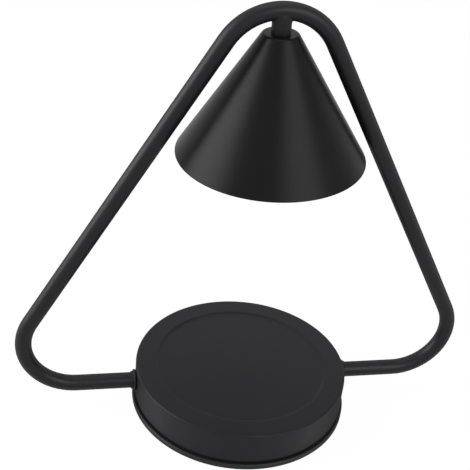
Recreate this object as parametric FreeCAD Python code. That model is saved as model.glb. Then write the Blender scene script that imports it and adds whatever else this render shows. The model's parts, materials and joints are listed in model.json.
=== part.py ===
import FreeCAD, Part
import math
import os
from FreeCAD import Vector

# A candle warmer lamp. The origin is the middle of its foot, X lies in the plane of the
# triangular frame, Y runs from front to back and Z is up. Every size is in millimetres.

# Base cover, pressed from steel sheet
flange_radius = 70.0
flange_step = 1.6
cover_wall = 1.0
cover_edge = 1.4
recess_radius = 55.0
recess_depth = 1.0
recess_slope = 0.8

# Bottom plate, moulded, and the foot ring glued under it
flange_top = 4.7
flange_edge = 0.5
shadow_gap = 1.1
plate_floor = 2.4
spigot_height = 2.8
spigot_wall = 1.8
spigot_fit = 0.2
pad_proud = 0.6
pad_sunk = 0.4
pad_outer_radius = 66.0
pad_width = 10.0
pad_fit = 0.1

# Screws that hold the plate to standoffs under the cover
standoff_circle = 45.0
standoff_angles = (30.0, 150.0, 270.0)
standoff_radius = 3.5
boss_radius = 5.2
boss_height = 3.6
screw_radius = 1.5
screw_head_radius = 2.8
screw_head_height = 1.9
screw_length = 9.0
screw_fit = 0.1
head_fit = 0.3

# Frame, one bent steel tube
tube_radius = 5.0
tube_wall = 1.0
corner_span = 162.2
frame_slope = 60.4
foot_bend = 32.8
apex_bend = 34.6
tube_fit = 0.15

# Collar, washer and nut at each tube end
collar_rim = 1.8
collar_length = 1.7
collar_edge = 0.6
collar_lip = 0.7
collar_lip_length = 1.3
collar_gap = 0.2
frame_nut_rim = 2.2
frame_nut_height = 4.0
frame_washer_rim = 3.4
frame_washer_thickness = 1.0
washer_gap = 0.05
washer_footroom = 0.8
washer_headroom = 0.5
tube_end_spare = 1.8

# Cord inlet at the back, with its clamp
cord_radius = 3.25
inlet_margin = 2.05
bushing_wall = 1.6
bushing_flange = 1.4
bushing_flange_rim = 1.5
bushing_length = 9.8
bushing_barb = 0.7
bushing_barb_length = 1.6
bushing_fit = 0.2
clamp_behind = 8.0
clamp_length = 8.0
clamp_strap = 1.8
clamp_foot = 6.5
clamp_fit = 0.2
clamp_screw_radius = 1.4
clamp_screw_head = 2.4
clamp_screw_head_height = 1.5
clamp_screw_depth = 6.0

# Terminal block for the cord and the inner lead
terminal_place = -13.0
terminal_length = 18.0
terminal_width = 22.0
terminal_height = 13.0
terminal_shoulder = 8.5
terminal_pitch = 12.0
terminal_barrel_radius = 3.6
terminal_screw_radius = 1.5
terminal_screw_spacing = 9.0
terminal_screw_height = 2.0
terminal_screw_depth = 2.5
mount_screw_radius = 1.3
mount_screw_depth = 5.0
mount_head_radius = 2.2
mount_head_height = 1.5

# Inner lead, held in the tube all the way
lead_radius = 1.6
lead_turn = 4.5
lead_fit = 0.3
lead_bush_length = 5.0
lead_bush_flange = 1.2
lead_bush_fit = 0.1

# Stem, threaded nipple, washer and nut that carry the shade
stem_radius = 5.4
stem_length = 7.5
head_lean = 2.1
stem_saddle = 1.8
nipple_radius = 4.0
nipple_bore = 2.75
nipple_fit = 0.15
nipple_spare = 0.8
nipple_nut_rim = 2.5
nipple_nut_height = 3.0
nipple_washer_rim = 2.3
nipple_washer_thickness = 0.8

# Shade, spun from aluminium
shade_top_radius = 10.05
shade_bottom_radius = 55.0
shade_height = 72.9
shade_wall = 1.0
shade_edge = 1.0

# Bracket and lamp holder
bracket_sheet = 1.0
bracket_height = 9.4
bracket_width = 7.0
bracket_leg_gap = 0.7
bracket_foot = 4.3
holder_radius = 13.0
holder_height = 15.0
holder_chamfer = 1.0
holder_screw_place = 2.5
holder_screw_radius = 1.25
holder_screw_head = 2.2
holder_screw_head_height = 1.6
holder_screw_depth = 5.0
holder_face = 3.5
wire_hole_depth = 3.0

# Bulb with a twist-lock base
pin_spacing = 10.0
pin_neck_radius = 1.5
pin_neck_length = 4.1
pin_head_radius = 2.5
pin_head_height = 2.9
pin_root = 3.0
pin_fit = 0.3
pin_entry_fit = 0.5
pin_turn = 90.0
twist_angle = 25.0
bulb_gap = 0.3
bulb_length = 46.0
bulb_radius = 25.0
bulb_cap_height = 17.0
bulb_cap_top_radius = 11.3
bulb_cap_waist_radius = 12.1
bulb_cap_radius = 13.6
bulb_cap_edge = 0.8
bulb_neck_radius = 7.0
bulb_neck_length = 9.0
bulb_wall = 1.2
bulb_rim_height = 2.6
bulb_glass = 1.5
bulb_glass_sunk = 0.7
bulb_bulge = 2.4
cement_gap = 0.1
capsule_radius = 5.0
capsule_length = 16.0
capsule_seal_radius = 2.6
capsule_seal_length = 9.0
contact_size = 4.4
contact_thickness = 0.6

# Places that follow from the sizes
up = Vector(0, 0, 1)
backwards = Vector(0, 1, 0)
washer_radius = tube_radius + frame_washer_rim
spigot_top = flange_top + spigot_height
leg_height = spigot_top + washer_footroom + washer_radius
cover_top = leg_height + washer_radius + washer_headroom + cover_wall
cover_radius = flange_radius - flange_step
cover_bottom = flange_top + shadow_gap
cover_ceiling = cover_top - recess_depth - cover_wall
plate_top = pad_proud + plate_floor
boss_top = plate_top + boss_height
screw_tip = boss_top + screw_length
slope = math.radians(frame_slope)
apex_corner = leg_height + corner_span * math.tan(slope)
apex_centre = apex_corner - apex_bend / math.cos(slope)
apex_height = apex_centre + apex_bend
tube_bore = tube_radius - tube_wall
wall_inside = cover_radius - cover_wall
washer_face = math.sqrt(wall_inside ** 2 - washer_radius ** 2) - washer_gap
nut_face = washer_face - frame_washer_thickness
tube_end = nut_face - frame_nut_height - tube_end_spare
shade_top = apex_height - tube_radius - stem_length
shade_bottom = shade_top - shade_height
shade_slope = math.atan((shade_bottom_radius - shade_top_radius) / shade_height)
shade_wall_level = shade_wall / math.cos(shade_slope)
shade_ceiling = shade_top - shade_wall
bracket_floor = shade_ceiling - bracket_height
bracket_reach = nipple_radius + nipple_nut_rim + bracket_leg_gap + bracket_sheet
nipple_washer_top = shade_ceiling - bracket_sheet
nipple_nut_top = nipple_washer_top - nipple_washer_thickness
nipple_bottom = nipple_nut_top - nipple_nut_height - nipple_spare
holder_top = bracket_floor
holder_bottom = holder_top - holder_height
holder_screw_x = bracket_reach + holder_screw_place
bulb_top = holder_bottom - bulb_gap
bulb_bottom = bulb_top - bulb_length
pin_top = bulb_top + pin_neck_length + pin_head_height
pocket_top = pin_top + pin_fit + contact_thickness
terminal_floor = leg_height - terminal_height / 2
inlet_height = cover_bottom + inlet_margin + cord_radius + bushing_wall + bushing_flange_rim
bushing_end = cover_radius + bushing_flange - bushing_length
clamp_place = bushing_end - clamp_behind - clamp_length / 2
clamp_floor = inlet_height - cord_radius


def bar(radius, start, end):
    """A round bar between two points."""
    run = end - start
    return Part.makeCylinder(radius, run.Length, start, run)


def sleeve(outer, inner, start, end):
    """A round bar with a bore right through it."""
    return bar(outer, start, end).cut(bar(inner, start, end))


def block(size_x, size_y, low, high, middle=Vector(0, 0, 0)):
    """An upright block, centred on a point in plan, between two heights."""
    corner = Vector(middle.x - size_x / 2, middle.y - size_y / 2, low)
    return Part.makeBox(size_x, size_y, high - low, corner)


def outline(start, *steps):
    """A closed face from points; a pair of points is an arc through the first to the second."""
    edges = []
    here = start
    for step in steps:
        if isinstance(step, tuple):
            edges.append(Part.Arc(here, step[0], step[1]).toShape())
            here = step[1]
        else:
            edges.append(Part.LineSegment(here, step).toShape())
            here = step
    if here.distanceToPoint(start) > 1e-6:
        edges.append(Part.LineSegment(here, start).toShape())
    return Part.Face(Part.Wire(edges))


def at(radius, height):
    """A point of a turned outline, in the XZ plane."""
    return Vector(radius, 0, height)


def swung(point):
    """Where a point goes as the head leans, round the centre of the apex bend."""
    pivot = at(0, apex_centre)
    lean = FreeCAD.Rotation(backwards, -head_lean)
    return pivot + lean.multVec(point - pivot)


def hung(shape):
    """A piece of the head, leant with the stem round the centre of the apex bend."""
    shape.rotate(at(0, apex_centre), backwards, -head_lean)
    return shape


def turned(face):
    """The solid that a face in the XZ plane sweeps round the Z axis."""
    return face.revolve(Vector(0, 0, 0), up, 360)


def hex_nut(bore, rim, start, end, flat_side):
    """A hexagonal nut between two points, with one pair of flats facing flat_side."""
    run = end - start
    radius = (bore + rim) / math.cos(math.radians(30))
    towards = Vector(flat_side).normalize()
    across = run.cross(towards).normalize()
    points = []
    for index in range(7):
        angle = math.radians(30 + 60 * index)
        points.append(start + (towards * math.cos(angle) + across * math.sin(angle)) * radius)
    body = Part.Face(Part.makePolygon(points)).extrude(run)
    return body.cut(bar(bore, start, end))


def rounding(corner, before, after, radius):
    """Start, middle and end of the bend that rounds one corner of a route."""
    back = (before - corner).normalize()
    ahead = (after - corner).normalize()
    half = back.getAngle(ahead) / 2
    reach = radius / math.tan(half)
    inward = (back + ahead).normalize()
    middle = corner + inward * (radius / math.sin(half) - radius)
    return corner + back * reach, middle, corner + ahead * reach


def piped(edges, radius):
    """A round bar bent along a chain of edges."""
    start = edges[0].valueAt(edges[0].FirstParameter)
    heading = edges[0].tangentAt(edges[0].FirstParameter)
    ring = Part.Wire(Part.Circle(start, heading, radius).toShape())
    return Part.Wire(edges).makePipeShell([ring], True, False)


def frame_edges():
    """The frame's centre line, from one tube end round the triangle to the other."""
    left_corner = at(-corner_span, leg_height)
    right_corner = at(corner_span, leg_height)
    apex = at(0, apex_corner)
    left_end = at(-tube_end, leg_height)
    right_end = at(tube_end, leg_height)
    bends = (
        rounding(left_corner, left_end, apex, foot_bend),
        rounding(apex, left_corner, right_corner, apex_bend),
        rounding(right_corner, apex, right_end, foot_bend),
    )
    edges = []
    here = left_end
    for first, middle, last in bends:
        edges.append(Part.LineSegment(here, first).toShape())
        edges.append(Part.Arc(first, middle, last).toShape())
        here = last
    edges.append(Part.LineSegment(here, right_end).toShape())
    return edges


def lead_edges():
    """The inner lead's route: along one leg, up the frame and down through the nipple."""
    frame = frame_edges()
    start = at(terminal_place - terminal_length / 2, leg_height)
    leg_bend = frame[1]
    leg_start = leg_bend.valueAt(leg_bend.FirstParameter)
    climb_end = frame[2].valueAt(frame[2].LastParameter)
    tilt = math.asin(lead_turn / (apex_bend - lead_turn))
    centre = at(0, apex_centre)

    def on_apex(angle):
        return centre + at(-math.sin(angle), math.cos(angle)) * apex_bend

    turn_start = on_apex(tilt)
    turn_centre = turn_start + at(math.sin(tilt), -math.cos(tilt)) * lead_turn
    half_turn = (math.pi / 2 - tilt) / 2
    turn_middle = turn_centre + at(math.sin(half_turn), math.cos(half_turn)) * lead_turn
    turn_end = turn_centre + at(lead_turn, 0)
    lead_end = at(0, holder_top - wire_hole_depth)
    apex_middle = on_apex((slope + tilt + math.radians(head_lean)) / 2)
    return [
        Part.LineSegment(start, leg_start).toShape(),
        leg_bend,
        frame[2],
        Part.Arc(climb_end, apex_middle, swung(turn_start)).toShape(),
        Part.Arc(swung(turn_start), swung(turn_middle), swung(turn_end)).toShape(),
        Part.LineSegment(swung(turn_end), swung(lead_end)).toShape(),
    ]


def standoff_points():
    """The middles of the three standoffs in plan."""
    places = []
    for angle in standoff_angles:
        turn = math.radians(angle)
        places.append(Vector(math.cos(turn), math.sin(turn), 0) * standoff_circle)
    return places


def base_cover():
    """Pressed cover: a rolled edge, a shallow seat for the candle, and holes for tubes and cord."""
    inner_edge = cover_edge - cover_wall
    diagonal = math.sqrt(0.5)
    face = outline(
        at(0, cover_top - recess_depth),
        at(recess_radius, cover_top - recess_depth),
        at(recess_radius + recess_slope, cover_top),
        at(cover_radius - cover_edge, cover_top),
        (
            at(cover_radius - cover_edge * (1 - diagonal), cover_top - cover_edge * (1 - diagonal)),
            at(cover_radius, cover_top - cover_edge),
        ),
        at(cover_radius, cover_bottom),
        at(wall_inside, cover_bottom),
        at(wall_inside, cover_top - cover_edge),
        (
            at(
                wall_inside - inner_edge * (1 - diagonal),
                cover_top - cover_wall - inner_edge * (1 - diagonal),
            ),
            at(wall_inside - inner_edge, cover_top - cover_wall),
        ),
        at(recess_radius + recess_slope, cover_top - cover_wall),
        at(recess_radius, cover_ceiling),
        at(0, cover_ceiling),
    )
    cover = turned(face)
    tube_hole = tube_radius + tube_fit
    cover = cover.cut(bar(tube_hole, at(-flange_radius, leg_height), at(-tube_end, leg_height)))
    cover = cover.cut(bar(tube_hole, at(tube_end, leg_height), at(flange_radius, leg_height)))
    inlet = cord_radius + bushing_wall + bushing_fit
    inlet_start = Vector(0, tube_end, inlet_height)
    return cover.cut(bar(inlet, inlet_start, Vector(0, flange_radius, inlet_height)))


def base_plate():
    """Moulded bottom plate: foot flange, spigot for the cover, screw bosses and two plinths."""
    spigot_radius = wall_inside - spigot_fit
    face = outline(
        at(0, pad_proud),
        at(pad_outer_radius - pad_width - pad_fit, pad_proud),
        at(pad_outer_radius - pad_width - pad_fit, pad_proud + pad_sunk),
        at(pad_outer_radius + pad_fit, pad_proud + pad_sunk),
        at(pad_outer_radius + pad_fit, pad_proud),
        at(flange_radius - flange_edge, pad_proud),
        at(flange_radius, pad_proud + flange_edge),
        at(flange_radius, flange_top - flange_edge),
        at(flange_radius - flange_edge, flange_top),
        at(spigot_radius, flange_top),
        at(spigot_radius, spigot_top),
        at(spigot_radius - spigot_wall, spigot_top),
        at(spigot_radius - spigot_wall, plate_top),
        at(0, plate_top),
    )
    plate = turned(face)
    for place in standoff_points():
        plate = plate.fuse(bar(boss_radius, place + up * plate_top, place + up * boss_top))
    terminal_middle = Vector(terminal_place, 0, 0)
    plinth = block(terminal_length, terminal_width, plate_top, terminal_floor, terminal_middle)
    clamp_middle = Vector(0, clamp_place, 0)
    clamp_width = 2 * (cord_radius + clamp_strap + clamp_foot)
    plate = plate.fuse(plinth)
    plate = plate.fuse(block(clamp_width, clamp_length, plate_top, clamp_floor, clamp_middle))
    for place in standoff_points():
        head_top = place + up * (pad_proud + screw_head_height + head_fit)
        plate = plate.cut(bar(screw_head_radius + head_fit, place, head_top))
        plate = plate.cut(bar(screw_radius + screw_fit, place, place + up * boss_top))
    for place in clamp_screw_points():
        plate = plate.cut(bar(clamp_screw_radius, place - up * clamp_screw_depth, place))
    mount_top = Vector(terminal_place, 0, terminal_floor)
    plate = plate.cut(bar(mount_screw_radius, mount_top - up * mount_screw_depth, mount_top))
    return plate.removeSplitter()


def foot_pad():
    """Soft ring glued into a groove under the plate; the lamp stands on it."""
    return sleeve(
        pad_outer_radius, pad_outer_radius - pad_width, at(0, 0), at(0, pad_proud + pad_sunk)
    )


def cover_standoffs():
    """Three threaded standoffs, welded under the cover's candle seat."""
    posts = []
    for place in standoff_points():
        post = bar(standoff_radius, place + up * boss_top, place + up * cover_ceiling)
        hole_top = place + up * (screw_tip + screw_fit)
        posts.append(post.cut(bar(screw_radius + screw_fit, place + up * boss_top, hole_top)))
    return posts


def plate_screws():
    """Three pan-head screws that pull the plate up against the standoffs."""
    screws = []
    seat = pad_proud + screw_head_height + head_fit
    for place in standoff_points():
        head = bar(screw_head_radius, place + up * (seat - screw_head_height), place + up * seat)
        screws.append(head.fuse(bar(screw_radius, place + up * seat, place + up * screw_tip)))
    return screws


def side(point, sign):
    """The same point on the left (-1) or right (+1) side of the lamp."""
    return Vector(point.x * sign, point.y, point.z)


def tube_collar(sign):
    """Round-edged steel collar, pressed onto the tube where it enters the cover."""
    inner = cover_radius + collar_gap
    middle = inner + collar_length
    outer = middle + collar_lip_length
    start = side(at(inner, leg_height), sign)
    step = side(at(middle, leg_height), sign)
    end = side(at(outer, leg_height), sign)
    ring = bar(tube_radius + collar_rim, start, step)
    rims = [edge for edge in ring.Edges if isinstance(edge.Curve, Part.Circle)]
    ring = ring.makeFillet(collar_edge, rims)
    ring = ring.fuse(bar(tube_radius + collar_lip, step, end))
    return ring.cut(bar(tube_radius, start, end)).removeSplitter()


def frame_washer(sign):
    """Flat washer that bridges the curve of the cover's wall."""
    start = side(at(washer_face, leg_height), sign)
    end = side(at(nut_face, leg_height), sign)
    return sleeve(washer_radius, tube_radius, start, end)


def frame_nut(sign):
    """Thin nut on the threaded tube end, tightened against the washer."""
    start = side(at(nut_face, leg_height), sign)
    end = side(at(nut_face - frame_nut_height, leg_height), sign)
    return hex_nut(tube_radius, frame_nut_rim, start, end, up)


def cord_bushing():
    """Moulded bushing that snaps into the back of the cover; the cord isn't fitted."""
    outside = cover_radius + bushing_flange
    body = cord_radius + bushing_wall
    barb_radius = body + bushing_barb
    barb_face = math.sqrt(wall_inside ** 2 - barb_radius ** 2) - bushing_fit
    barb_start = barb_face - bushing_barb_length

    def behind(distance):
        return Vector(0, distance, inlet_height)

    bushing = bar(body, behind(bushing_end), behind(outside))
    bushing = bushing.fuse(bar(body + bushing_flange_rim, behind(cover_radius), behind(outside)))
    barb = Part.makeCone(body, barb_radius, bushing_barb_length, behind(barb_start), backwards)
    bushing = bushing.fuse(barb)
    return bushing.cut(bar(cord_radius, behind(bushing_end), behind(outside))).removeSplitter()


def clamp_screw_points():
    """Where the two clamp screws enter the plinth."""
    reach = cord_radius + clamp_strap + clamp_foot / 2
    return [Vector(-reach, clamp_place, clamp_floor), Vector(reach, clamp_place, clamp_floor)]


def cord_clamp():
    """Saddle over the cord's path, with a foot on each side."""
    arch_radius = cord_radius + clamp_fit
    start = Vector(0, clamp_place - clamp_length / 2, inlet_height)
    end = start + Vector(0, clamp_length, 0)
    arch = bar(arch_radius + clamp_strap, start, end)
    middle = Vector(0, clamp_place, 0)
    width = 2 * (arch_radius + clamp_strap)
    arch = arch.fuse(block(width, clamp_length, clamp_floor, inlet_height, middle))
    top = inlet_height + arch_radius + clamp_strap
    arch = arch.common(block(width, clamp_length, clamp_floor, top, middle))
    feet_width = 2 * (cord_radius + clamp_strap + clamp_foot)
    feet = block(feet_width, clamp_length, clamp_floor, clamp_floor + clamp_strap, middle)
    clamp = arch.fuse(feet).cut(bar(arch_radius, start, end))
    clamp = clamp.cut(block(2 * arch_radius, clamp_length, clamp_floor, inlet_height, middle))
    for place in clamp_screw_points():
        hole = bar(clamp_screw_radius + screw_fit, place, place + up * clamp_strap)
        clamp = clamp.cut(hole)
    return clamp.removeSplitter()


def clamp_screws():
    """Two screws through the clamp's feet into the plinth."""
    screws = []
    for place in clamp_screw_points():
        seat = place + up * clamp_strap
        shank = bar(clamp_screw_radius, seat - up * (clamp_screw_depth + clamp_strap), seat)
        screws.append(shank.fuse(bar(clamp_screw_head, seat, seat + up * clamp_screw_head_height)))
    return screws


def terminal_screw_points():
    """Where the four wire screws stand on the terminal block."""
    top = terminal_floor + terminal_height
    places = []
    for row in (-0.5, 0.5):
        for column in (-0.5, 0.5):
            x = terminal_place + column * terminal_screw_spacing
            places.append(Vector(x, row * terminal_pitch, top))
    return places


def terminal_block():
    """Two-pole block: a barrel for each pole on a common body, with wire holes at both ends."""
    middle = Vector(terminal_place, 0, 0)
    top = terminal_floor + terminal_height
    shoulder = terminal_floor + terminal_shoulder
    body = block(terminal_length, terminal_width, terminal_floor, shoulder, middle)
    for row in (-0.5, 0.5):
        pole = Vector(terminal_place, row * terminal_pitch, 0)
        body = body.fuse(block(terminal_length, 2 * terminal_barrel_radius, shoulder, top, pole))
    for place in terminal_screw_points():
        foot = place - up * terminal_screw_depth
        body = body.cut(bar(terminal_screw_radius + screw_fit, foot, place))
    hole = Vector(terminal_place, 0, terminal_floor)
    body = body.cut(bar(mount_screw_radius + screw_fit, hole, hole + up * terminal_height))
    return body.removeSplitter()


def terminal_screws():
    """Four wire screws, one at each end of each pole."""
    screws = []
    for place in terminal_screw_points():
        foot = place - up * terminal_screw_depth
        screws.append(bar(terminal_screw_radius, foot, foot + up * terminal_screw_height))
    return screws


def terminal_mount_screw():
    """Screw between the two poles that holds the block to its plinth."""
    foot = Vector(terminal_place, 0, terminal_floor)
    seat = foot + up * terminal_shoulder
    shank = bar(mount_screw_radius, foot - up * mount_screw_depth, seat)
    return shank.fuse(bar(mount_head_radius, seat, seat + up * mount_head_height))


def frame_solid():
    """The frame's outer form, with no bore."""
    return piped(frame_edges(), tube_radius)


def frame_tube():
    """Round tube bent into a triangle, with a wire hole under its apex."""
    tube = frame_solid().cut(piped(frame_edges(), tube_bore))
    wire_hole = bar(nipple_bore, at(0, apex_height - tube_radius - tube_wall), at(0, apex_height))
    return tube.cut(hung(wire_hole))


def lead_bush():
    """Plastic bush that keeps the lead off the cut edge of the left tube end."""
    face = at(-tube_end + lead_bush_flange, leg_height)
    seat = at(-tube_end, leg_height)
    tip = at(-tube_end - lead_bush_length, leg_height)
    bush = bar(tube_bore - lead_bush_fit, tip, seat).fuse(bar(tube_radius, seat, face))
    return bush.cut(bar(lead_radius + lead_fit, tip, face)).removeSplitter()


def inner_lead():
    """Round two-core lead from the terminal block through the tube to the lamp holder."""
    return piped(lead_edges(), lead_radius)


def stem():
    """Short sleeve whose top is cut to the curve of the tube."""
    top = apex_height - tube_radius + stem_saddle
    body = sleeve(stem_radius, nipple_radius + nipple_fit, at(0, shade_top), at(0, top))
    return body.cut(frame_solid())


def nipple():
    """Threaded pipe, welded under the tube's apex, that the shade and holder hang from."""
    top = apex_height - tube_radius + stem_saddle
    body = sleeve(nipple_radius, nipple_bore, at(0, nipple_bottom), at(0, top))
    return body.cut(frame_solid())


def shade():
    """Spun cone with a flat top and a softly rounded shoulder."""
    shoulder_turn = (math.pi / 2 - shade_slope) / 2
    reach = shade_edge * math.tan(shoulder_turn)
    down = at(math.sin(shade_slope), -math.cos(shade_slope))
    corner = at(shade_top_radius, shade_top)
    bulge_centre = corner - at(reach, shade_edge)
    bulge_turn = math.pi / 2 - shoulder_turn
    bulge = bulge_centre + at(math.cos(bulge_turn), math.sin(bulge_turn)) * shade_edge
    ceiling_radius = shade_top_radius + shade_wall * math.tan(shade_slope) - shade_wall_level
    face = outline(
        at(nipple_radius + nipple_fit, shade_top),
        at(shade_top_radius - reach, shade_top),
        (bulge, corner + down * reach),
        at(shade_bottom_radius, shade_bottom),
        at(shade_bottom_radius - shade_wall_level, shade_bottom),
        at(ceiling_radius, shade_ceiling),
        at(nipple_radius + nipple_fit, shade_ceiling),
    )
    return turned(face)


def nipple_washer():
    """Flat washer between the bracket and the nut."""
    washer = nipple_radius + nipple_washer_rim
    return sleeve(washer, nipple_radius + nipple_fit, at(0, nipple_nut_top), at(0, nipple_washer_top))


def nipple_nut():
    """Nut on the nipple that clamps bracket, shade and stem together."""
    bottom = at(0, nipple_nut_top - nipple_nut_height)
    return hex_nut(nipple_radius, nipple_nut_rim, at(0, nipple_nut_top), bottom, Vector(1, 0, 0))


def holder_screw_points():
    """Where the two holder screws pass the bracket's feet."""
    return [at(-holder_screw_x, holder_top), at(holder_screw_x, holder_top)]


def holder_bracket():
    """Pressed disc with a leg bent down at each side and out into a foot."""
    foot_end = bracket_reach + bracket_foot
    foot_top = bracket_floor + bracket_sheet
    legs_inside = 2 * (bracket_reach - bracket_sheet)
    legs = block(2 * bracket_reach, bracket_width, bracket_floor, shade_ceiling)
    feet = block(2 * foot_end, bracket_width, bracket_floor, foot_top)
    bracket = legs.fuse(feet)
    bracket = bracket.cut(block(legs_inside, bracket_width, bracket_floor, shade_ceiling))
    disc_radius = math.hypot(bracket_reach, bracket_width / 2)
    bracket = bracket.fuse(bar(disc_radius, at(0, nipple_washer_top), at(0, shade_ceiling)))
    nipple_hole = bar(nipple_radius + nipple_fit, at(0, bracket_floor), at(0, shade_ceiling))
    bracket = bracket.cut(nipple_hole)
    for place in holder_screw_points():
        hole = bar(holder_screw_radius + screw_fit, place, place + up * bracket_sheet)
        bracket = bracket.cut(hole)
    return bracket.removeSplitter()


def holder_screws():
    """Two screws through the bracket's feet into the lamp holder."""
    screws = []
    for place in holder_screw_points():
        seat = place + up * bracket_sheet
        shank = bar(holder_screw_radius, place - up * holder_screw_depth, seat)
        head_top = seat + up * holder_screw_head_height
        screws.append(shank.fuse(bar(holder_screw_head, seat, head_top)))
    return screws


def round_axis(radius, degrees, height):
    """A point at a radius and a turn round the bulb's axis."""
    turn = math.radians(degrees)
    return Vector(math.cos(turn) * radius, math.sin(turn) * radius, height)


def curved_slot(half_width, low, high):
    """A round-ended slot that a pin sweeps, from its locked place back by the twist."""
    orbit = pin_spacing / 2
    entry = pin_turn - twist_angle
    middle = pin_turn - twist_angle / 2
    outer = orbit + half_width
    inner = orbit - half_width
    locked_tip = round_axis(orbit, pin_turn, low) + round_axis(half_width, pin_turn + 90, 0)
    entry_tip = round_axis(orbit, entry, low) + round_axis(half_width, entry - 90, 0)
    face = outline(
        round_axis(outer, entry, low),
        (round_axis(outer, middle, low), round_axis(outer, pin_turn, low)),
        (locked_tip, round_axis(inner, pin_turn, low)),
        (round_axis(inner, middle, low), round_axis(inner, entry, low)),
        (entry_tip, round_axis(outer, entry, low)),
    )
    return face.extrude(up * (high - low))


def both_pins(shape):
    """A shape and its copy half a turn round the bulb's axis."""
    other = shape.copy()
    other.rotate(Vector(0, 0, 0), up, 180)
    return [shape, other]


def lamp_holder():
    """Ceramic holder whose keyhole slots take the bulb's pins and hold them after a twist."""
    face = outline(
        at(0, holder_bottom),
        at(holder_radius - holder_chamfer, holder_bottom),
        at(holder_radius, holder_bottom + holder_chamfer),
        at(holder_radius, holder_top - holder_chamfer),
        at(holder_radius - holder_chamfer, holder_top),
        at(0, holder_top),
    )
    holder = turned(face)
    slot = curved_slot(pin_neck_radius + pin_fit, holder_bottom, holder_bottom + holder_face)
    pocket = curved_slot(pin_head_radius + pin_fit, holder_bottom + holder_face, pocket_top)
    entry = round_axis(pin_spacing / 2, pin_turn - twist_angle, 0)
    entry_radius = pin_head_radius + pin_entry_fit
    entry_hole = bar(entry_radius, entry + up * holder_bottom, entry + up * pocket_top)
    for cavity in both_pins(slot.fuse(pocket).fuse(entry_hole)):
        holder = holder.cut(cavity)
    wire_hole = bar(lead_radius + lead_fit, at(0, holder_top - wire_hole_depth), at(0, holder_top))
    holder = holder.cut(wire_hole)
    for place in holder_screw_points():
        holder = holder.cut(bar(holder_screw_radius, place - up * holder_screw_depth, place))
    return holder


def holder_contacts():
    """Two metal contacts on the roof of the pockets, just above the locked pins."""
    middle = round_axis(pin_spacing / 2, pin_turn, 0)
    contact_bottom = pocket_top - contact_thickness
    contact = block(contact_size, contact_size, contact_bottom, pocket_top, middle)
    pocket = curved_slot(pin_head_radius + pin_fit, holder_bottom, pocket_top)
    return both_pins(contact.common(pocket))


def bulb_cap():
    """Ceramic cap that carries the pins and holds the reflector's neck in cement."""
    bottom = bulb_top - bulb_cap_height
    neck_bore = bulb_neck_radius + cement_gap
    bore_top = bottom + bulb_neck_length + cement_gap
    face = outline(
        at(0, bulb_top),
        at(bulb_cap_top_radius - bulb_cap_edge, bulb_top),
        at(bulb_cap_top_radius, bulb_top - bulb_cap_edge),
        at(bulb_cap_top_radius, bulb_top - bulb_cap_height / 3),
        (at(bulb_cap_waist_radius, bottom + bulb_cap_height / 3), at(bulb_cap_radius, bottom)),
        at(neck_bore, bottom),
        at(neck_bore, bore_top),
        at(0, bore_top),
    )
    cap = turned(face)
    for socket in both_pins(bulb_pin_root()):
        cap = cap.cut(socket)
    return cap


def bulb_pin_root():
    """The hidden end of a pin, set in the ceramic cap."""
    foot = round_axis(pin_spacing / 2, pin_turn, bulb_top)
    return bar(pin_neck_radius, foot - up * pin_root, foot)


def bulb_pins():
    """Two metal pins with wide heads that lock behind the holder's slots."""
    foot = round_axis(pin_spacing / 2, pin_turn, bulb_top)
    shoulder = foot + up * pin_neck_length
    neck = bar(pin_neck_radius, foot - up * pin_root, shoulder)
    return both_pins(neck.fuse(bar(pin_head_radius, shoulder, shoulder + up * pin_head_height)))


def bulb_reflector():
    """Pressed-glass reflector: a neck for the cement and a deep bowl with a straight rim."""
    neck_top = bulb_top - bulb_cap_height + bulb_neck_length
    bowl_top = bulb_top - bulb_cap_height - cement_gap
    rim_top = bulb_bottom + bulb_rim_height
    inner_top = bowl_top - bulb_wall
    neck_inner = bulb_neck_radius - bulb_wall
    outer_start = at(bulb_cap_radius - bulb_wall, bowl_top)
    outer_end = at(bulb_radius, rim_top)
    inner_start = at(bulb_cap_radius - 2 * bulb_wall, inner_top)
    inner_end = at(bulb_radius - bulb_wall, rim_top)

    def bulged(start, end):
        run = end - start
        across = run.cross(Vector(0, 1, 0)).normalize()
        return start + run * 0.5 - across * bulb_bulge

    face = outline(
        at(neck_inner, neck_top),
        at(bulb_neck_radius, neck_top),
        at(bulb_neck_radius, bowl_top),
        outer_start,
        (bulged(outer_start, outer_end), outer_end),
        at(bulb_radius, bulb_bottom),
        at(bulb_radius - bulb_wall, bulb_bottom),
        inner_end,
        (bulged(inner_start, inner_end), inner_start),
        at(neck_inner, inner_top),
    )
    return turned(face)


def bulb_front_glass():
    """Flat glass that closes the reflector."""
    bottom = bulb_bottom + bulb_glass_sunk
    return bar(bulb_radius - bulb_wall - cement_gap, at(0, bottom), at(0, bottom + bulb_glass))


def bulb_capsule():
    """Halogen capsule: a pinched seal in the neck and a round-ended envelope."""
    seal_top = bulb_top - bulb_cap_height + bulb_neck_length + cement_gap
    shoulder = seal_top - capsule_seal_length
    dome = shoulder - capsule_length + capsule_radius
    tip = dome - capsule_radius
    diagonal = capsule_radius * math.sqrt(0.5)
    face = outline(
        at(0, seal_top),
        at(capsule_seal_radius, seal_top),
        at(capsule_seal_radius, shoulder),
        at(capsule_radius, shoulder - capsule_seal_radius),
        at(capsule_radius, dome),
        (at(diagonal, dome - diagonal), at(0, tip)),
    )
    return turned(face)


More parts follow.
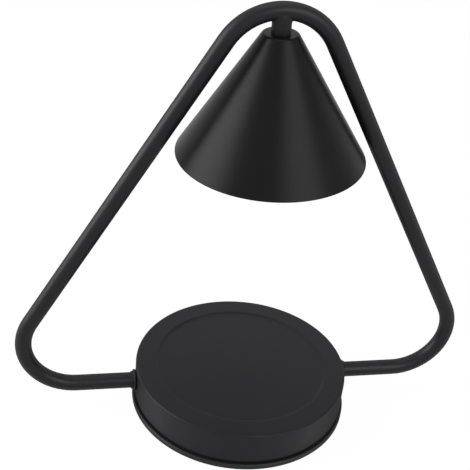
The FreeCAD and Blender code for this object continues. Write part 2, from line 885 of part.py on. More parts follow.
def base_parts():
    """The base with what it holds, by name; a list is a group of like pieces."""
    made = {
        "base_cover": base_cover(),
        "base_plate": base_plate(),
        "foot_pad": foot_pad(),
        "cover_standoffs": cover_standoffs(),
        "plate_screws": plate_screws(),
        "cord_bushing": cord_bushing(),
        "cord_clamp": cord_clamp(),
        "clamp_screws": clamp_screws(),
        "terminal_block": terminal_block(),
        "terminal_screws": terminal_screws(),
        "terminal_mount_screw": terminal_mount_screw(),
    }
    for name, sign in (("left", -1), ("right", 1)):
        made["tube_collar_" + name] = tube_collar(sign)
        made["frame_washer_" + name] = frame_washer(sign)
        made["frame_nut_" + name] = frame_nut(sign)
    return made


def frame_parts():
    """The frame and the lead inside it."""
    return {
        "frame_tube": frame_tube(),
        "lead_bush": lead_bush(),
        "inner_lead": inner_lead(),
    }


def head_parts():
    """The stem, shade, holder and bulb, built upright and then leant together."""
    upright = {
        "stem": stem(),
        "nipple": nipple(),
        "nipple_washer": nipple_washer(),
        "nipple_nut": nipple_nut(),
        "shade": shade(),
        "holder_bracket": holder_bracket(),
        "holder_screws": holder_screws(),
        "lamp_holder": lamp_holder(),
        "holder_contacts": holder_contacts(),
        "bulb_cap": bulb_cap(),
        "bulb_pins": bulb_pins(),
        "bulb_reflector": bulb_reflector(),
        "bulb_front_glass": bulb_front_glass(),
        "bulb_capsule": bulb_capsule(),
    }
    made = {}
    for name, shape in upright.items():
        if isinstance(shape, list):
            made[name] = [hung(solid) for solid in shape]
        else:
            made[name] = hung(shape)
    return made


os.makedirs("parts", exist_ok=True)
for group in (base_parts(), frame_parts(), head_parts()):
    for node, made in group.items():
        shape = Part.makeCompound(made) if isinstance(made, list) else made
        solids = shape.Solids
        if not shape.isValid() or not solids:
            raise ValueError(node + " is not a valid solid")
        shape = solids[0] if len(solids) == 1 else Part.makeCompound(solids)
        shape.exportStep(os.path.join("parts", node + ".step"))
        print(node, len(solids), round(shape.Volume, 1))
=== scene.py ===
import json
import math
import bmesh
import bpy
from mathutils import Matrix, Vector


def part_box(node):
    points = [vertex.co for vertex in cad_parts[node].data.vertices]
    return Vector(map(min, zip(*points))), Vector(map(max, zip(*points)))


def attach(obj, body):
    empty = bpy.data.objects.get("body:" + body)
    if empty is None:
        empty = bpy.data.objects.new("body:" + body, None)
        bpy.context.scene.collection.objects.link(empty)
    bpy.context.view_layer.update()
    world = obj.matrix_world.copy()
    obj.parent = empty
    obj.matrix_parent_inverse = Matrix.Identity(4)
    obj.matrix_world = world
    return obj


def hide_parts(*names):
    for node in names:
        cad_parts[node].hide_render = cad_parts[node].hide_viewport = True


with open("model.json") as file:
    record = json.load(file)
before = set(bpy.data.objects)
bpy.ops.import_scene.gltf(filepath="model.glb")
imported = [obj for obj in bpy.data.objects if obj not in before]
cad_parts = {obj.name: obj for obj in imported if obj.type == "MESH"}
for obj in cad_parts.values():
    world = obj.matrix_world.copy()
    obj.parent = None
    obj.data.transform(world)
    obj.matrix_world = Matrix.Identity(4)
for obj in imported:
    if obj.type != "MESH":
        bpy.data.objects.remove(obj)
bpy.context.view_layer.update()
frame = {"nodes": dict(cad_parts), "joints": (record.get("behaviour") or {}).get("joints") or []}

# Base cover. A drum with a softly rolled top edge and a shallow round seat for the candle,
# pressed from steel sheet. It is powder coated in satin black, and welded to three posts
# inside it. The press leaves no sharp edge, so the steps of the seat are rounded.
MM = 0.001
MERGE_REACH = 0.002 * MM
SAME_PLACE = 0.02 * MM
FLAT_ANGLE = math.radians(0.05)
SOLID_SEAT_RIM = 55.8
SOLID_SEAT_FOOT = 55.0
SEAT_RIM = 55.4
SEAT_FOOT = 54.2
SEAT_DEPTH = 1.0
SEAT_ROUNDING = 0.6
CLOUD_SIZE = 28.0
CLOUD_GLOSS = 0.015
PEEL_STRENGTH = 0.4
HAZE_START = 0.5
HAZE_END = 0.85


def srgb(code):
    """A linear RGBA colour from an sRGB hex code."""
    channels = [int(code[i:i + 2], 16) / 255 for i in (1, 3, 5)]
    return [c / 12.92 if c <= 0.04045 else ((c + 0.055) / 1.055) ** 2.4 for c in channels] + [1]


def add_node(tree, kind, settings=None, links=None):
    """Adds one shader node; links name its sockets and the outputs that feed them."""
    node = tree.nodes.new(kind)
    for key, value in (settings or {}).items():
        if isinstance(key, str) and hasattr(node, key):
            setattr(node, key, value)
        else:
            node.inputs[key].default_value = value
    for key, source in (links or {}).items():
        tree.links.new(source, node.inputs[key])
    return node


def new_material(name, **settings):
    """A material with one principled shader, whose sockets take the given settings."""
    material = bpy.data.materials.new(name)
    material.use_nodes = True
    shader = material.node_tree.nodes["Principled BSDF"]
    for key, value in settings.items():
        shader.inputs[key.replace("_", " ")].default_value = value
    return material


def coated(name, colour, dust, roughness, level, peel_size, peel_height, dulled=0.5):
    """A coat or moulded skin: a fine peel in the bump, and slight clouds in colour and gloss.

    The peel scatters light that is seen at a slant, so the roughness rises there, by dulled.
    """
    material = new_material(name, Specular_IOR_Level=level)
    tree = material.node_tree
    shader = tree.nodes["Principled BSDF"]
    place = add_node(tree, "ShaderNodeTexCoord").outputs["Object"]
    cloud = add_node(
        tree,
        "ShaderNodeTexNoise",
        {"Scale": 1 / (CLOUD_SIZE * MM), "Detail": 3.0, "Roughness": 0.55},
        {"Vector": place},
    ).outputs["Fac"]
    peel = add_node(
        tree,
        "ShaderNodeTexNoise",
        {"Scale": 1 / (peel_size * MM), "Detail": 2.0},
        {"Vector": place},
    )
    tint = add_node(
        tree,
        "ShaderNodeMix",
        {"data_type": "RGBA", "A": srgb(colour), "B": srgb(dust)},
        {0: cloud},
    )
    gloss = add_node(
        tree,
        "ShaderNodeMapRange",
        {
            "From Min": 0.3,
            "From Max": 0.7,
            "To Min": roughness - CLOUD_GLOSS,
            "To Max": roughness + CLOUD_GLOSS,
        },
        {"Value": cloud},
    )
    slant = add_node(tree, "ShaderNodeLayerWeight", {"Blend": 0.5})
    haze = add_node(
        tree,
        "ShaderNodeMapRange",
        {"From Min": HAZE_START, "From Max": HAZE_END, "To Min": 0.0, "To Max": dulled},
        {"Value": slant.outputs["Facing"]},
    )
    total = add_node(
        tree,
        "ShaderNodeMath",
        links={0: gloss.outputs["Result"], 1: haze.outputs["Result"]},
    )
    bump = add_node(
        tree,
        "ShaderNodeBump",
        {"Strength": PEEL_STRENGTH, "Distance": peel_height * MM},
        {"Height": peel.outputs["Fac"]},
    )
    tree.links.new(tint.outputs["Result"], shader.inputs["Base Color"])
    tree.links.new(total.outputs[0], shader.inputs["Roughness"])
    tree.links.new(bump.outputs["Normal"], shader.inputs["Normal"])
    return material


def merged_copy(name):
    """A merged copy of a solid's mesh, with its flat stretches made whole again."""
    shape = bmesh.new()
    shape.from_mesh(frame["nodes"][name].data)
    bmesh.ops.remove_doubles(shape, verts=shape.verts, dist=MERGE_REACH)
    bmesh.ops.dissolve_limit(shape, angle_limit=FLAT_ANGLE, verts=shape.verts, edges=shape.edges)
    return shape


def ring_edges(shape, radius, height):
    """The edges of a circle round the Z axis."""
    found = []
    for edge in shape.edges:
        off = [abs(math.hypot(v.co.x, v.co.y) - radius) + abs(v.co.z - height) for v in edge.verts]
        if max(off) < SAME_PLACE:
            found.append(edge)
    return found


def rounded(shape, edges, size):
    """Rolls the given edges over by a size in millimetres."""
    bmesh.ops.bevel(
        shape,
        geom=edges,
        offset=size * MM,
        segments=4,
        profile=0.5,
        affect="EDGES",
        material=-1,
    )


def finished(shape, name, body, material, replaced=(), sharp=35):
    """Makes a shape a piece of the lamp: it rides on a body and may stand for solids."""
    mesh = bpy.data.meshes.new(name)
    shape.to_mesh(mesh)
    shape.free()
    mesh.shade_smooth()
    mesh.set_sharp_from_angle(angle=math.radians(sharp))
    mesh.materials.append(material)
    piece = bpy.data.objects.new(name, mesh)
    bpy.context.scene.collection.objects.link(piece)
    even = piece.modifiers.new("even_shading", "WEIGHTED_NORMAL")
    even.keep_sharp = True
    even.weight = 100
    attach(piece, body)
    if replaced:
        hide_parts(*replaced)


# Satin black polyester powder coat, baked on: an even, dark grey-black with a soft sheen and
# the fine peel of a sprayed powder, which shows only where light grazes it.
base_coat = coated(
    "powder_coated_steel", colour="#111113", dust="#161619",
    roughness=0.43, level=0.145, peel_size=0.5, peel_height=0.03,
)
cover_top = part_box("base_cover")[1].z
seat_floor = cover_top - SEAT_DEPTH * MM
cover = merged_copy("base_cover")
# The step of the seat is set in a little and rounded, so that it draws its soft line of light.
seat_rim = ring_edges(cover, SOLID_SEAT_RIM * MM, cover_top)
seat_foot = ring_edges(cover, SOLID_SEAT_FOOT * MM, seat_floor)
for ring, old, new in ((seat_rim, SOLID_SEAT_RIM, SEAT_RIM), (seat_foot, SOLID_SEAT_FOOT, SEAT_FOOT)):
    corners = list({vert for edge in ring for vert in edge.verts})
    bmesh.ops.scale(cover, verts=corners, vec=(new / old, new / old, 1))
rounded(cover, seat_rim, SEAT_ROUNDING)
seat_foot = ring_edges(cover, SEAT_FOOT * MM, seat_floor)
rounded(cover, seat_foot, SEAT_ROUNDING)
finished(cover, "pressed_cover", "lamp", base_coat, ["base_cover"])

# Bottom plate. Injection moulded in black plastic: its rim is the foot flange, which shows
# as a step under the cover with a dark gap between. Three screws pull it up to the posts.
# The flange's top and foot are set a little down, which makes the gap as dark as the real one.
FLANGE_TOP = 4.7
FLANGE_TOP_DROP = 0.85
FLANGE_FOOT_EDGE = 0.6
FLANGE_FOOT_DROP = 0.5
GAP_DEPTH = 1.5
pad_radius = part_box("foot_pad")[1].x
gap_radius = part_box("base_cover")[1].x - GAP_DEPTH * MM
plate_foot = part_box("base_plate")[0].z
plate = merged_copy("base_plate")
for vert in plate.verts:
    reach = math.hypot(vert.co.x, vert.co.y)
    if reach > pad_radius and vert.co.z < plate_foot + FLANGE_FOOT_EDGE * MM:
        vert.co.z -= FLANGE_FOOT_DROP * MM
    elif reach > gap_radius and vert.co.z < FLANGE_TOP * MM + SAME_PLACE:
        vert.co.z -= FLANGE_TOP_DROP * MM
# Moulded polypropylene with a fine grain from the tool. It is flatter than the coated steel
# above it, so the flange looks a shade duller than the wall.
moulded_black = coated(
    "moulded_black_plastic", colour="#121213", dust="#161617",
    roughness=0.5, level=0.2, peel_size=0.3, peel_height=0.02,
)
finished(plate, "moulded_plate", "lamp", moulded_black, ["base_plate"], sharp=25)

# Foot ring. Cut from a sheet of closed-cell foam rubber and glued into the plate's groove, so
# that the lamp stands soft and doesn't slide.


def dress(material, *names):
    """Puts a material on the solids that keep their own mesh."""
    for name in names:
        mesh = frame["nodes"][name].data
        mesh.materials.clear()
        mesh.materials.append(material)


# Its cut cells swallow the light, so it is a dull dark grey without any sheen.
foam_rubber = coated(
    "foam_rubber", colour="#202020", dust="#2a2a2a",
    roughness=0.85, level=0.2, peel_size=0.25, peel_height=0.08,
)
dress(foam_rubber, "foot_pad")

# Plate screws. Pan heads with a cross recess, zinc plated, sunk in the plate so that they
# clear the table. They hold in the posts under the cover.
SCREW_CIRCLE = 45.0
SCREW_ANGLES = (30, 150, 270)
SHANK_RADIUS = 1.5
SHANK_SIDES = 24
HEAD_RADIUS = 2.8
HEAD_HEIGHT = 1.9
HEAD_ROUNDING = 0.5
HEAD_SHOULDER = 0.15
HEAD_SIDES = 48
RECESS_REACH = 1.35
RECESS_HALF_WIDTH = 0.35
RECESS_DEPTH = 1.0
RECESS_TAPER = 0.6
BATH_GRAIN = 1.5
BATH_GLOSS = 0.08
BATH_SHADE = 0.8


def plated(name, colour, roughness):
    """Bare or plated metal, with a faint cloudy grain as from a plating bath."""
    material = new_material(name, Metallic=1.0)
    tree = material.node_tree
    shader = tree.nodes["Principled BSDF"]
    bright = srgb(colour)
    dim = [channel * BATH_SHADE for channel in bright[:3]] + [1]
    grain = add_node(
        tree,
        "ShaderNodeTexNoise",
        {"Scale": 1 / (BATH_GRAIN * MM), "Detail": 4.0},
        {"Vector": add_node(tree, "ShaderNodeTexCoord").outputs["Object"]},
    ).outputs["Fac"]
    tint = add_node(tree, "ShaderNodeMix", {"data_type": "RGBA", "A": bright, "B": dim}, {0: grain})
    gloss = add_node(
        tree,
        "ShaderNodeMapRange",
        {"To Min": roughness - BATH_GLOSS, "To Max": roughness + BATH_GLOSS},
        {"Value": grain},
    )
    tree.links.new(tint.outputs["Result"], shader.inputs["Base Color"])
    tree.links.new(gloss.outputs["Result"], shader.inputs["Roughness"])
    return material


def picked(geometry, kind):
    """The vertices or the edges among the geometry that an operator gives back."""
    return [item for item in geometry if isinstance(item, kind)]


def cross_screw(shape, seat, length):
    """Adds a screw whose head hangs down from its seat: a shank, and a pan head with a cross."""
    screw = bmesh.new()
    bmesh.ops.create_cone(
        screw,
        cap_ends=True,
        segments=SHANK_SIDES,
        radius1=SHANK_RADIUS * MM,
        radius2=SHANK_RADIUS * MM,
        depth=length * MM,
        matrix=Matrix.Translation((0, 0, -length / 2 * MM)),
    )
    ring = bmesh.ops.create_circle(
        screw,
        segments=HEAD_SIDES,
        radius=(HEAD_RADIUS - HEAD_ROUNDING) * MM,
        matrix=Matrix.Translation((0, 0, HEAD_HEIGHT * MM)),
    )["verts"]
    rim = [edge for edge in screw.edges if all(vert in ring for vert in edge.verts)]
    arm = (
        (RECESS_REACH, -RECESS_HALF_WIDTH),
        (RECESS_REACH, RECESS_HALF_WIDTH),
        (RECESS_HALF_WIDTH, RECESS_HALF_WIDTH),
    )
    corners = []
    for quarter in range(4):
        turn = Matrix.Rotation(quarter * math.pi / 2, 3, "Z")
        for x, y in arm:
            corners.append(screw.verts.new(turn @ Vector((x, y, HEAD_HEIGHT)) * MM))
    cross = [screw.edges.new((corners[i - 1], corners[i])) for i in range(len(corners))]
    bmesh.ops.triangle_fill(screw, use_beauty=True, edges=cross + rim)

    recess = bmesh.ops.extrude_edge_only(screw, edges=cross)["geom"]
    recess_floor = picked(recess, bmesh.types.BMVert)
    bmesh.ops.translate(screw, verts=recess_floor, vec=(0, 0, -RECESS_DEPTH * MM))
    bmesh.ops.scale(screw, verts=recess_floor, vec=(RECESS_TAPER, RECESS_TAPER, 1))
    bmesh.ops.contextual_create(screw, geom=picked(recess, bmesh.types.BMEdge))

    radius = HEAD_RADIUS - HEAD_ROUNDING
    for next_radius, height in (
        (HEAD_RADIUS - HEAD_SHOULDER, HEAD_HEIGHT - HEAD_SHOULDER),
        (HEAD_RADIUS, HEAD_HEIGHT - HEAD_ROUNDING),
        (HEAD_RADIUS, 0),
    ):
        skirt = bmesh.ops.extrude_edge_only(screw, edges=rim)["geom"]
        ring = picked(skirt, bmesh.types.BMVert)
        rim = [e for e in picked(skirt, bmesh.types.BMEdge) if all(v in ring for v in e.verts)]
        bmesh.ops.scale(screw, verts=ring, vec=(next_radius / radius, next_radius / radius, 1))
        for vert in ring:
            vert.co.z = height * MM
        radius = next_radius
    bmesh.ops.contextual_create(screw, geom=rim)

    bmesh.ops.recalc_face_normals(screw, faces=screw.faces)
    bmesh.ops.rotate(screw, verts=screw.verts, matrix=Matrix.Rotation(math.pi, 3, "X"))
    bmesh.ops.translate(screw, verts=screw.verts, vec=seat)
    part = bpy.data.meshes.new("screw")
    screw.to_mesh(part)
    screw.free()
    shape.from_mesh(part)
    bpy.data.meshes.remove(part)


# Zinc plate: bright but cloudy, cold and a little blue, never polished.
zinc = plated("zinc_plate", "#b4b6b8", roughness=0.38)
screws = bmesh.new()
screw_foot, screw_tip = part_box("plate_screws")
seat_height = screw_foot.z / MM + HEAD_HEIGHT
for angle in SCREW_ANGLES:
    turn = math.radians(angle)
    seat = Vector((math.cos(turn) * SCREW_CIRCLE, math.sin(turn) * SCREW_CIRCLE, seat_height)) * MM
    cross_screw(screws, seat, screw_tip.z / MM - seat_height)
finished(screws, "cross_head_screws", "lamp", zinc, ["plate_screws"], sharp=40)
dress(
    zinc,
    "cover_standoffs",
    "frame_washer_left",
    "frame_washer_right",
    "frame_nut_left",
    "frame_nut_right",
    "clamp_screws",
    "terminal_mount_screw",
    "nipple",
    "nipple_washer",
    "nipple_nut",
    "holder_bracket",
    "holder_screws",
)

# Cord inlet. A moulded bushing snaps into the back of the cover, and a saddle behind it grips
# the cord. Both are moulded in the same black plastic as the plate, as is the tube's bush.
dress(moulded_black, "cord_bushing", "cord_clamp", "lead_bush")

# Terminal block and inner lead. The block is moulded in nylon, has brass wire screws and
# stands inside the base; the lead runs from it through the tube in a silicone sheath.
# Natural nylon is a waxy ivory, with a soft sheen.
nylon = coated(
    "natural_nylon", colour="#d9d5c9", dust="#d2cdbf",
    roughness=0.45, level=0.5, peel_size=0.6, peel_height=0.01,
)
dress(nylon, "terminal_block")
# Extruded silicone is a dull, slightly grey white.
silicone = coated(
    "silicone_sheath", colour="#d5d3cd", dust="#cbc9c2",
    roughness=0.55, level=0.4, peel_size=0.6, peel_height=0.01,
)
dress(silicone, "inner_lead")
# Turned brass, left bare: a warm yellow that has lost its first shine.
brass = plated("brass", "#c9a45c", roughness=0.35)
dress(brass, "terminal_screws", "holder_contacts")

# Frame. One steel tube, bent on a mandrel into a triangle with round corners. The ends pass
# through a pressed-on collar into the cover, and a nut holds each inside.
# The same powder as the base; on a round tube it draws two soft lines of light.
tube_coat = coated(
    "powder_coated_tube", colour="#101011", dust="#17171a",
    roughness=0.42, level=0.165, peel_size=0.5, peel_height=0.06,
)
dress(tube_coat, "frame_tube", "tube_collar_left", "tube_collar_right", "stem")

# Weld. A fillet of weld, dressed smooth and coated over, joins the stem to the tube. Its
# lower edge runs round the stem and its upper edge lies on the tube's curve. The heights of
# the weld, shade and bulb are measured up the head's leaning axis from the bulb's joint.
TUBE_RADIUS = 5.0
APEX_BEND = 34.6
BEND_CENTRE = 3.6
STEM_RADIUS = 5.4
STEM_TOP = 35.2
WELD_REACH = 1.7
WELD_DROP = 1.4
WELD_FULLNESS = 0.2
WELD_SUNK = 0.1
ROOT_DEPTH = 1.0
ROOT_DROP = 0.4
WELD_STEPS = 5
WELD_SIDES = 72
STRIP_START = 10
hinge = frame["joints"][0]
head_axis = Vector(hinge["axis"]).normalized()
head_turn = Vector((0, 0, 1)).rotation_difference(head_axis)
head_place = Matrix.Translation(hinge["pos_m"]) @ head_turn.to_matrix().to_4x4()


def spun(profile, steps):
    """A closed profile of radius and height pairs in millimetres, swept round the Z axis."""
    shape = bmesh.new()
    points = [shape.verts.new((radius * MM, 0, height * MM)) for radius, height in profile]
    edges = [shape.edges.new(pair) for pair in zip(points, points[1:] + points[:1])]
    bmesh.ops.spin(
        shape,
        geom=points + edges,
        cent=(0, 0, 0),
        axis=(0, 0, 1),
        angle=math.tau,
        steps=steps,
        use_merge=True,
    )
    bmesh.ops.remove_doubles(shape, verts=shape.verts, dist=MERGE_REACH)
    bmesh.ops.recalc_face_normals(shape, faces=shape.faces)
    return shape


def under_tube(x, y):
    """The height of the bent tube's underside over a point, all in millimetres."""
    half = math.sqrt(max(TUBE_RADIUS ** 2 - y ** 2, 0))
    return BEND_CENTRE + math.sqrt((APEX_BEND - half) ** 2 - x ** 2)


def weld_point(step, turn):
    """A radius and height of the fillet's section: its face from stem to tube, then its root."""
    across = math.cos(turn)
    side = abs(math.sin(turn))
    joint = min(under_tube(STEM_RADIUS * across, STEM_RADIUS * side), STEM_TOP)
    if step > WELD_STEPS:
        return STEM_RADIUS - ROOT_DEPTH, joint - ROOT_DROP
    reach = STEM_RADIUS + WELD_REACH * (1 - side ** 2)
    if reach * side > TUBE_RADIUS - WELD_SUNK:
        reach = (TUBE_RADIUS - WELD_SUNK) / side
    low = Vector((STEM_RADIUS, joint - WELD_DROP))
    middle = Vector((STEM_RADIUS, joint + WELD_FULLNESS))
    high = Vector((reach, under_tube(reach * across, reach * side) + WELD_SUNK))
    share = step / WELD_STEPS
    curve = low * (1 - share) ** 2 + middle * 2 * share * (1 - share) + high * share ** 2
    return curve.x, curve.y


# The section is first spun as a flat strip, so that a vertex's radius tells its step.
weld = spun([(STRIP_START + step, 0) for step in range(WELD_STEPS + 2)], WELD_SIDES)
for vert in weld.verts:
    turn = math.atan2(vert.co.y, vert.co.x)
    step = round(math.hypot(vert.co.x, vert.co.y) / MM) - STRIP_START
    radius, height = weld_point(step, turn)
    vert.co = Vector((radius * math.cos(turn), radius * math.sin(turn), height)) * MM
bmesh.ops.recalc_face_normals(weld, faces=weld.faces)
bmesh.ops.transform(weld, matrix=head_place, verts=weld.verts)
finished(weld, "stem_weld", "lamp", tube_coat)

# Shade. Spun from aluminium sheet over a cone, with a flat top and a turned lip. The tool
# leaves faint rings near the top and the lip, which the coat doesn't quite hide. The real
# rings lie closer together: they are drawn this far apart so that they show.
SHADE_TOP = 25.7
SHADE_BOTTOM = -47.2
SHADE_TOP_RADIUS = 10.05
SHADE_LIP_RADIUS = 55.0
SHADE_WALL = 1.0
SHADE_LIP_WIDTH = 1.176
SHADE_CORNER_WALL = 0.6
SHADE_HOLE = 4.15
SHADE_SIDES = 240
TOP_ROUNDING = 0.9
LIP_ROUNDING_OUTSIDE = 0.45
LIP_ROUNDING_INSIDE = 0.35
RING_SPACING = 0.9
RING_HEIGHT = 0.06
RINGS_START = 0.7
RINGS_FAINT = 0.1
RINGS_CLEAR = 0.6
lip_inside = SHADE_LIP_RADIUS - SHADE_LIP_WIDTH
shade = spun(
    [
        (SHADE_HOLE, SHADE_TOP),
        (SHADE_TOP_RADIUS, SHADE_TOP),
        (SHADE_LIP_RADIUS, SHADE_BOTTOM),
        (lip_inside, SHADE_BOTTOM),
        (SHADE_TOP_RADIUS - SHADE_CORNER_WALL, SHADE_TOP - SHADE_WALL),
        (SHADE_HOLE, SHADE_TOP - SHADE_WALL),
    ],
    SHADE_SIDES,
)
for radius, height, size in (
    (SHADE_TOP_RADIUS, SHADE_TOP, TOP_ROUNDING),
    (SHADE_LIP_RADIUS, SHADE_BOTTOM, LIP_ROUNDING_OUTSIDE),
    (lip_inside, SHADE_BOTTOM, LIP_ROUNDING_INSIDE),
):
    rounded(shade, ring_edges(shade, radius * MM, height * MM), size)
bmesh.ops.transform(shade, matrix=head_place, verts=shade.verts)
# Matt black powder over spun aluminium: the darkest coat here. Its sheen is low, so the front
# stays nearly black while a light beside it draws one soft band down the cone.
shade_coat = coated(
    "powder_coated_aluminium", colour="#09090a", dust="#0d0d0e",
    roughness=0.37, level=0.09, peel_size=0.4, peel_height=0.03, dulled=0.0,
)
tree = shade_coat.node_tree
peel_bump = next(node for node in tree.nodes if node.type == "BUMP")
along = add_node(
    tree,
    "ShaderNodeVectorMath",
    {"operation": "DOT_PRODUCT", 1: head_axis},
    {0: add_node(tree, "ShaderNodeTexCoord").outputs["Object"]},
)
rings = add_node(
    tree,
    "ShaderNodeTexNoise",
    {"noise_dimensions": "1D", "Scale": 1 / (RING_SPACING * MM), "Detail": 1.0},
    {"W": along.outputs["Value"]},
)
middle = head_axis.dot(head_place @ Vector((0, 0, (SHADE_TOP + SHADE_BOTTOM) / 2 * MM)))
half_height = (SHADE_TOP - SHADE_BOTTOM) / 2 * MM
off_middle = add_node(
    tree,
    "ShaderNodeMath",
    {"operation": "SUBTRACT", 1: middle},
    {0: along.outputs["Value"]},
)
away = add_node(tree, "ShaderNodeMath", {"operation": "ABSOLUTE"}, {0: off_middle.outputs[0]})
near_ends = add_node(
    tree,
    "ShaderNodeMapRange",
    {
        "From Min": half_height * RINGS_START,
        "From Max": half_height,
        "To Min": RINGS_FAINT,
        "To Max": RINGS_CLEAR,
    },
    {"Value": away.outputs[0]},
)
ring_bump = add_node(
    tree,
    "ShaderNodeBump",
    {"Distance": RING_HEIGHT * MM},
    {
        "Height": rings.outputs["Fac"],
        "Strength": near_ends.outputs[0],
        "Normal": peel_bump.outputs[0],
    },
)
tree.links.new(ring_bump.outputs["Normal"], tree.nodes["Principled BSDF"].inputs["Normal"])
finished(shade, "spun_shade", "lamp", shade_coat, ["shade"])

# Lamp holder and bulb cap. Both are pressed and fired from steatite, a dense white ceramic.
# The holder hangs on a zinc-plated bracket, and the cap is cemented to the bulb.
# Left unglazed, it is an off-white with a fine speckle and hardly any shine.
steatite = coated(
    "steatite_ceramic", colour="#dad5c8", dust="#cfc9ba",
    roughness=0.6, level=0.5, peel_size=0.5, peel_height=0.02,
)
dress(steatite, "lamp_holder", "bulb_cap")

# Bulb pins. Turned from steel with a wider head, which locks in the holder's slots, and set
# in the cap. Nickel plate makes them smooth and bright, a little warm in tone.
nickel = plated("nickel_plate", "#c8c2b6", roughness=0.25)
dress(nickel, "bulb_pins")

# Reflector. Pressed glass with a bright metal film inside. Its bowl is a net of small flat
# facets that spread the light, and its neck is cemented into the cap.
BULB_RADIUS = 25.0
BULB_LENGTH = 46.0
BULB_RIM = 2.6
CAP_HEIGHT = 17.0
CAP_RADIUS = 13.6
CEMENT_GAP = 0.1
NECK_TOP = -8.0
NECK_RADIUS = 7.0
NECK_BORE = 5.8
GLASS_WALL = 1.2
BOWL_BULGE = 2.4
BOWL_TOP = -(CAP_HEIGHT + CEMENT_GAP)
FACETS = 36
FACET_ROWS = 9
OUTSIDE_ROWS = 12


def bowl_curve(start, end, count):
    """Points of a shallow curve from start to end, bulging outwards at its middle."""
    run = end - start
    out = Vector((-run.y, run.x)).normalized() * BOWL_BULGE
    shares = [step / count for step in range(count + 1)]
    return [start + run * share + out * 4 * share * (1 - share) for share in shares]


outside = bowl_curve(
    Vector((CAP_RADIUS - GLASS_WALL, BOWL_TOP)),
    Vector((BULB_RADIUS, BULB_RIM - BULB_LENGTH)),
    OUTSIDE_ROWS,
)
inside = bowl_curve(
    Vector((CAP_RADIUS - 2 * GLASS_WALL, BOWL_TOP - GLASS_WALL)),
    Vector((BULB_RADIUS - GLASS_WALL, BULB_RIM - BULB_LENGTH)),
    FACET_ROWS,
)
neck = [(NECK_BORE, NECK_TOP), (NECK_RADIUS, NECK_TOP), (NECK_RADIUS, BOWL_TOP)]
rim = [(BULB_RADIUS, -BULB_LENGTH), (BULB_RADIUS - GLASS_WALL, -BULB_LENGTH)]
bore = [(NECK_BORE, BOWL_TOP - GLASS_WALL)]
bowl = spun(neck + outside + rim + inside[::-1] + bore, FACETS)
bmesh.ops.transform(bowl, matrix=head_place, verts=bowl.verts)
# Aluminium vapour settles on the glass as a mirror, and the facets break it into spots. The
# outside shows the bare back of the film.
film = plated("vapour_coating", "#e6e6e8", roughness=0.12)
finished(bowl, "faceted_reflector", "bulb", film, ["bulb_reflector"], sharp=4)

# Front glass and capsule. A flat disc of glass is held in the reflector's rim, and the
# capsule inside it is blown from quartz.
# Both are clear and smooth, so they show only by a thin reflection and what they bend.
glass = new_material("clear_glass", Roughness=0.02, IOR=1.5, Transmission_Weight=1.0)
dress(glass, "bulb_front_glass", "bulb_capsule")

# Filament. Tungsten wire, wound into a coil that stands upright in the capsule. It is drawn
# thicker than the real wire, so that it shows through the glass.
WIRE_RADIUS = 0.12
WIRE_SIDES = 6
COIL_RADIUS = 0.7
COIL_TURNS = 9
COIL_PITCH = 0.55
COIL_BOTTOM = -32.0
TURN_STEPS = 16
coil = bmesh.new()
wire_start = Matrix.Translation((COIL_RADIUS * MM, 0, COIL_BOTTOM * MM))
bmesh.ops.create_circle(
    coil,
    segments=WIRE_SIDES,
    radius=WIRE_RADIUS * MM,
    matrix=wire_start @ Matrix.Rotation(math.pi / 2, 4, "X"),
)
bmesh.ops.spin(
    coil,
    geom=coil.verts[:] + coil.edges[:],
    cent=(0, 0, 0),
    axis=(0, 0, 1),
    dvec=(0, 0, COIL_PITCH / TURN_STEPS * MM),
    angle=math.tau * COIL_TURNS,
    steps=TURN_STEPS * COIL_TURNS,
)
bmesh.ops.holes_fill(coil, edges=coil.edges, sides=WIRE_SIDES)
bmesh.ops.recalc_face_normals(coil, faces=coil.faces)
bmesh.ops.transform(coil, matrix=head_place, verts=coil.verts)
# Drawn tungsten is a dull, warm grey while it is cold.
tungsten = plated("tungsten", "#77736e", roughness=0.4)
finished(coil, "filament", "bulb", tungsten, sharp=60)

# Floor. A plain white sheet: what the camera, gloss and glass see of it is mostly its own
# white, and the rest is lit, so that it keeps the lamp's soft shadow. The studio's sizes,
# from here on, are in metres.
SELF_WHITE = 0.975
FLOOR_RADIUS = 6.0
FLOOR_SIDES = 96
sheet = bmesh.new()
bmesh.ops.create_circle(sheet, cap_ends=True, segments=FLOOR_SIDES, radius=FLOOR_RADIUS)
floor_mesh = bpy.data.meshes.new("floor")
sheet.to_mesh(floor_mesh)
sheet.free()
floor = bpy.data.objects.new("floor", floor_mesh)
bpy.context.scene.collection.objects.link(floor)


def seen_ray(tree):
    """1 for camera, glossy and transmission rays, else 0."""
    ray = add_node(tree, "ShaderNodeLightPath").outputs
    seen = ray["Is Camera Ray"]
    for name in ("Is Glossy Ray", "Is Transmission Ray"):
        larger = add_node(tree, "ShaderNodeMath", {"operation": "MAXIMUM"}, {0: seen, 1: ray[name]})
        seen = larger.outputs[0]
    return seen


# White paper: even and matt, so that it shows nothing but the shadow.
white_paper = bpy.data.materials.new("white_paper")
white_paper.use_nodes = True
tree = white_paper.node_tree
tree.nodes.clear()
share = add_node(
    tree,
    "ShaderNodeMath",
    {"operation": "MULTIPLY", 1: SELF_WHITE},
    {0: seen_ray(tree)},
)
lit = add_node(tree, "ShaderNodeBsdfDiffuse", {"Color": srgb("#f2f2f2")})
own = add_node(tree, "ShaderNodeEmission", {"Color": srgb("#ffffff"), "Strength": 1.0})
blend = add_node(
    tree,
    "ShaderNodeMixShader",
    links={0: share.outputs[0], 1: lit.outputs[0], 2: own.outputs[0]},
)
add_node(tree, "ShaderNodeOutputMaterial", links={"Surface": blend.outputs[0]})
floor_mesh.materials.append(white_paper)

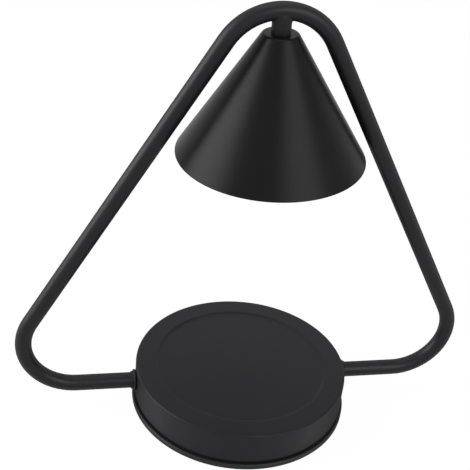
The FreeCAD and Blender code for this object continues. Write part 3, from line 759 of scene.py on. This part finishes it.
# Studio light. A white surround and three soft boxes: a large one at the left draws the bright
# band down the cone, a dimmer one in front at the right draws the faint band, and a weak one
# overhead lifts the base's top. Their radiance is in watts per square metre and steradian.
WORLD_LIGHT = 0.5
BOX_DISTANCE = 1.6
AIM_HEIGHT = 0.14
world = bpy.data.worlds.new("studio")
bpy.context.scene.world = world
world.use_nodes = True
tree = world.node_tree
tree.nodes.clear()
level = add_node(
    tree,
    "ShaderNodeMapRange",
    {"To Min": WORLD_LIGHT, "To Max": 1.0},
    {"Value": seen_ray(tree)},
)
surround = add_node(
    tree,
    "ShaderNodeBackground",
    {"Color": srgb("#ffffff")},
    {"Strength": level.outputs[0]},
)
add_node(tree, "ShaderNodeOutputWorld", links={"Surface": surround.outputs[0]})


def outwards(azimuth, elevation):
    """The direction from the lamp to an azimuth, counted from the front, and an elevation."""
    level_part = math.cos(elevation)
    return Vector((
        math.sin(azimuth) * level_part,
        -math.cos(azimuth) * level_part,
        math.sin(elevation),
    ))


def soft_box(name, azimuth, elevation, tilt, width, height, radiance):
    """A rectangular soft box that faces the lamp's middle, tilted on its own axis."""
    light = bpy.data.lights.new(name, "AREA")
    light.shape = "RECTANGLE"
    light.size = width
    light.size_y = height
    light.energy = radiance * math.pi * width * height
    out = outwards(math.radians(azimuth), math.radians(elevation))
    facing = out.to_track_quat("Z", "Y").to_matrix()
    box = bpy.data.objects.new(name, light)
    bpy.context.scene.collection.objects.link(box)
    box.location = Vector((0, 0, AIM_HEIGHT)) + out * BOX_DISTANCE
    box.rotation_euler = (facing @ Matrix.Rotation(math.radians(tilt), 3, "Z")).to_euler()
    box.visible_camera = False


soft_box("left_box", azimuth=-95, elevation=18, tilt=-30, width=1.1, height=1.2, radiance=8.0)
soft_box("front_box", azimuth=30, elevation=30, tilt=0, width=1.1, height=0.9, radiance=5.5)
soft_box("top_box", azimuth=180, elevation=80, tilt=0, width=1.2, height=1.0, radiance=2.0)

# Camera. The photograph's view, found from the base's circles and the frame: it looks down by
# about 32 degrees from the left of the front, and leans a little. The centre, where its axis
# meets the photograph, is in pixels from the top left, and the sensor in millimetres.
AZIMUTH = math.radians(-15.31)
ELEVATION = math.radians(32.48)
ROLL = math.radians(7.16)
DISTANCE = 0.6107
TARGET_HEIGHT = 0.1208
FOCAL_PIXELS = 1010.09
IMAGE_PIXELS = 470
CENTRE_X = 256.24
CENTRE_Y = 242.22
SENSOR_WIDTH = 36.0
backwards = outwards(AZIMUTH, ELEVATION)
level_right = (-backwards).cross(Vector((0, 0, 1))).normalized()
level_up = level_right.cross(-backwards)
right = level_right * math.cos(ROLL) + level_up * math.sin(ROLL)
upright = level_up * math.cos(ROLL) - level_right * math.sin(ROLL)
camera_data = bpy.data.cameras.new("camera")
camera_data.sensor_width = SENSOR_WIDTH
camera_data.lens = FOCAL_PIXELS / IMAGE_PIXELS * SENSOR_WIDTH
camera_data.shift_x = -(CENTRE_X - IMAGE_PIXELS / 2) / IMAGE_PIXELS
camera_data.shift_y = (CENTRE_Y - IMAGE_PIXELS / 2) / IMAGE_PIXELS
camera = bpy.data.objects.new("camera", camera_data)
bpy.context.scene.collection.objects.link(camera)
camera_place = Vector((0, 0, TARGET_HEIGHT)) + backwards * DISTANCE
camera_turn = Matrix((right, upright, backwards)).transposed().to_4x4()
camera.matrix_world = Matrix.Translation(camera_place) @ camera_turn
bpy.context.scene.camera = camera

# The view shows the colours as they are lit.
bpy.context.scene.view_settings.view_transform = "Standard"
